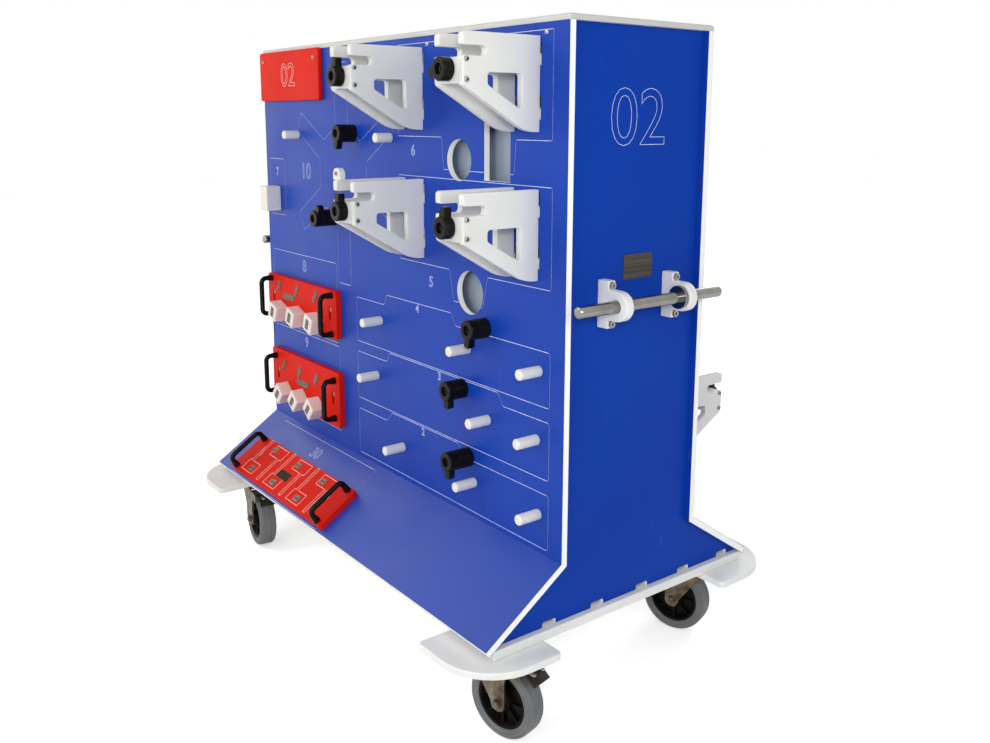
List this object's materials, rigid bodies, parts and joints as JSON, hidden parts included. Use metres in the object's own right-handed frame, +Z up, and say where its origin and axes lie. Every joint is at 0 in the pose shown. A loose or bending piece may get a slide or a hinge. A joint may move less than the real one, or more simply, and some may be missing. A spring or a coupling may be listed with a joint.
{
  "type": "parts cart",
  "caption": "Blue sheet-built parts cart on swivel casters, with lift-off divider arms, lever clamps, hanging pegs, lift-off red tag plates, flared skirts and push bars",
  "frame": {"origin": "on the floor under the middle of the cart", "axes": "X along the cart, -Y towards the working face, Z up"},
  "size_m": [1.4598, 0.896, 1.428],
  "materials": {
    "blue_sheet": "satin blue skins on a white core",
    "white_plastic": "satin white polyethylene",
    "red_plastic": "satin red",
    "black_plastic": "black, lightly textured",
    "steel": "brushed stainless",
    "zinc_steel": "zinc plated, worn",
    "grey_rubber": "non-marking grey rubber",
    "liner_grey": "plain grey sheet"
  },
  "bodies": {
    "cabinet": {"front_panel": "blue_sheet", "front_skirt": "blue_sheet", "rear_panel": "blue_sheet", "rear_skirt": "blue_sheet", "right_end_panel": "blue_sheet", "left_end_panel": "blue_sheet", "top_lid": "white_plastic", "base_plate": "white_plastic", "corner_pads": "white_plastic", "pegs": "white_plastic", "rest_block": "white_plastic", "pillow_blocks": "white_plastic", "inner_liner": "liner_grey", "clamp_posts": "black_plastic", "pivot_screws": "steel", "hanger_screws": "steel", "push_bars": "steel", "bar_collars": "steel", "pillow_screws": "steel", "sign_plate": "red_plastic", "caster_top_plates": "zinc_steel"},
    "arm_upper_left": {"arm_upper_left": "white_plastic"},
    "knob_upper_left": {"knob_upper_left": "black_plastic"},
    "arm_upper_right": {"arm_upper_right": "white_plastic"},
    "knob_upper_right": {"knob_upper_right": "black_plastic"},
    "arm_lower_left": {"arm_lower_left": "white_plastic"},
    "knob_lower_left": {"knob_lower_left": "black_plastic"},
    "arm_lower_right": {"arm_lower_right": "white_plastic"},
    "knob_lower_right": {"knob_lower_right": "black_plastic"},
    "arm_rear": {"arm_rear": "white_plastic"},
    "knob_rear": {"knob_rear": "black_plastic"},
    "clamp_1": {"clamp_lever_1": "black_plastic"},
    "clamp_2": {"clamp_lever_2": "black_plastic"},
    "clamp_3": {"clamp_lever_3": "black_plastic"},
    "clamp_4": {"clamp_lever_4": "black_plastic"},
    "clamp_5": {"clamp_lever_5": "black_plastic"},
    "tag_upper": {"tag_plate_upper": "red_plastic", "handles_upper": "black_plastic", "tag_blocks_upper": "white_plastic"},
    "tag_lower": {"tag_plate_lower": "red_plastic", "handles_lower": "black_plastic", "tag_blocks_lower": "white_plastic"},
    "tag_skirt": {"tag_plate_skirt": "red_plastic", "handles_skirt": "black_plastic"},
    "caster_front_right": {"fork_front_right": "zinc_steel"},
    "wheel_front_right": {"rim_front_right": "black_plastic", "tyre_front_right": "grey_rubber"},
    "caster_front_left": {"fork_front_left": "zinc_steel"},
    "wheel_front_left": {"rim_front_left": "black_plastic", "tyre_front_left": "grey_rubber"},
    "caster_rear_right": {"fork_rear_right": "zinc_steel"},
    "wheel_rear_right": {"rim_rear_right": "black_plastic", "tyre_rear_right": "grey_rubber"},
    "caster_rear_left": {"fork_rear_left": "zinc_steel"},
    "wheel_rear_left": {"rim_rear_left": "black_plastic", "tyre_rear_left": "grey_rubber"},
    "pedal_front_right": {"pedal_front_right": "black_plastic"},
    "pedal_front_left": {"pedal_front_left": "black_plastic"}
  },
  "joints": [
    {"name": "swivel_front_right", "type": "hinge", "parent": "cabinet", "child": "caster_front_right", "pos_m": [0.576, -0.31199, 0.175], "axis": [0, 0, 1], "continuous": true},
    {"name": "roll_front_right", "type": "hinge", "parent": "caster_front_right", "child": "wheel_front_right", "pos_m": [0.61887, -0.30209, 0.08], "axis": [-0.225, 0.9744, 0], "continuous": true},
    {"name": "brake_front_right", "type": "hinge", "parent": "caster_front_right", "child": "pedal_front_right", "pos_m": [0.65882, -0.29287, 0.1597], "axis": [-0.225, 0.9744, 0], "range_deg": [0, 10]},
    {"name": "swivel_front_left", "type": "hinge", "parent": "cabinet", "child": "caster_front_left", "pos_m": [-0.576, -0.31199, 0.175], "axis": [0, 0, 1], "continuous": true},
    {"name": "roll_front_left", "type": "hinge", "parent": "caster_front_left", "child": "wheel_front_left", "pos_m": [-0.53243, -0.31811, 0.08], "axis": [0.1392, 0.9903, 0], "continuous": true},
    {"name": "brake_front_left", "type": "hinge", "parent": "caster_front_left", "child": "pedal_front_left", "pos_m": [-0.49183, -0.32382, 0.1597], "axis": [0.1392, 0.9903, 0], "range_deg": [0, 10]},
    {"name": "swivel_rear_right", "type": "hinge", "parent": "cabinet", "child": "caster_rear_right", "pos_m": [0.576, 0.31199, 0.175], "axis": [0, 0, 1], "continuous": true},
    {"name": "roll_rear_right", "type": "hinge", "parent": "caster_rear_right", "child": "wheel_rear_right", "pos_m": [0.53415, 0.29839, 0.08], "axis": [0.309, -0.9511, 0], "continuous": true},
    {"name": "swivel_rear_left", "type": "hinge", "parent": "cabinet", "child": "caster_rear_left", "pos_m": [-0.576, 0.31199, 0.175], "axis": [0, 0, 1], "continuous": true},
    {"name": "roll_rear_left", "type": "hinge", "parent": "caster_rear_left", "child": "wheel_rear_left", "pos_m": [-0.61946, 0.31887, 0.08], "axis": [-0.1564, -0.9877, 0], "continuous": true},
    {"name": "lift_arm_upper_left", "type": "slide", "parent": "cabinet", "child": "arm_upper_left", "axis": [0, 0, 1], "range_m": [0, 0.022]},
    {"name": "turn_knob_upper_left", "type": "hinge", "parent": "arm_upper_left", "child": "knob_upper_left", "pos_m": [0.1275, -0.3905, 1.326], "axis": [0, 1, 0], "range_deg": [-95, 20]},
    {"name": "lift_arm_upper_right", "type": "slide", "parent": "cabinet", "child": "arm_upper_right", "axis": [0, 0, 1], "range_m": [0, 0.022]},
    {"name": "turn_knob_upper_right", "type": "hinge", "parent": "arm_upper_right", "child": "knob_upper_right", "pos_m": [0.5335, -0.3905, 1.326], "axis": [0, 1, 0], "range_deg": [-20, 95]},
    {"name": "lift_arm_lower_left", "type": "slide", "parent": "cabinet", "child": "arm_lower_left", "axis": [0, 0, 1], "range_m": [0, 0.022]},
    {"name": "turn_knob_lower_left", "type": "hinge", "parent": "arm_lower_left", "child": "knob_lower_left", "pos_m": [0.1275, -0.3905, 1.036], "axis": [0, 1, 0], "range_deg": [-95, 20]},
    {"name": "lift_arm_lower_right", "type": "slide", "parent": "cabinet", "child": "arm_lower_right", "axis": [0, 0, 1], "range_m": [0, 0.022]},
    {"name": "turn_knob_lower_right", "type": "hinge", "parent": "arm_lower_right", "child": "knob_lower_right", "pos_m": [0.5335, -0.3905, 1.036], "axis": [0, 1, 0], "range_deg": [-95, 20]},
    {"name": "lift_arm_rear", "type": "slide", "parent": "cabinet", "child": "arm_rear", "axis": [0, 0, 1], "range_m": [0, 0.022]},
    {"name": "turn_knob_rear", "type": "hinge", "parent": "arm_rear", "child": "knob_rear", "pos_m": [0.5335, 0.3905, 0.577], "axis": [0, 1, 0], "range_deg": [-95, 20]},
    {"name": "turn_clamp_1", "type": "hinge", "parent": "cabinet", "child": "clamp_1", "pos_m": [-0.147, -0.2365, 1.2], "axis": [0, 1, 0], "range_deg": [-90, 90]},
    {"name": "turn_clamp_2", "type": "hinge", "parent": "cabinet", "child": "clamp_2", "pos_m": [-0.257, -0.2495, 0.98], "axis": [0, 1, 0], "range_deg": [-90, 90]},
    {"name": "turn_clamp_3", "type": "hinge", "parent": "cabinet", "child": "clamp_3", "pos_m": [0.405, -0.2365, 0.797], "axis": [0, 1, 0], "range_deg": [-90, 90]},
    {"name": "turn_clamp_4", "type": "hinge", "parent": "cabinet", "child": "clamp_4", "pos_m": [0.322, -0.2365, 0.645], "axis": [0, 1, 0], "range_deg": [-90, 90]},
    {"name": "turn_clamp_5", "type": "hinge", "parent": "cabinet", "child": "clamp_5", "pos_m": [0.344, -0.2495, 0.491], "axis": [0, 1, 0], "range_deg": [-90, 90]},
    {"name": "lift_tag_upper", "type": "slide", "parent": "cabinet", "child": "tag_upper", "axis": [0, 0, 1], "range_m": [0, 0.022]},
    {"name": "lift_tag_lower", "type": "slide", "parent": "cabinet", "child": "tag_lower", "axis": [0, 0, 1], "range_m": [0, 0.022]},
    {"name": "lift_tag_skirt", "type": "slide", "parent": "cabinet", "child": "tag_skirt", "axis": [0, 0.8314, 0.5557], "range_m": [0, 0.022]}
  ]
}
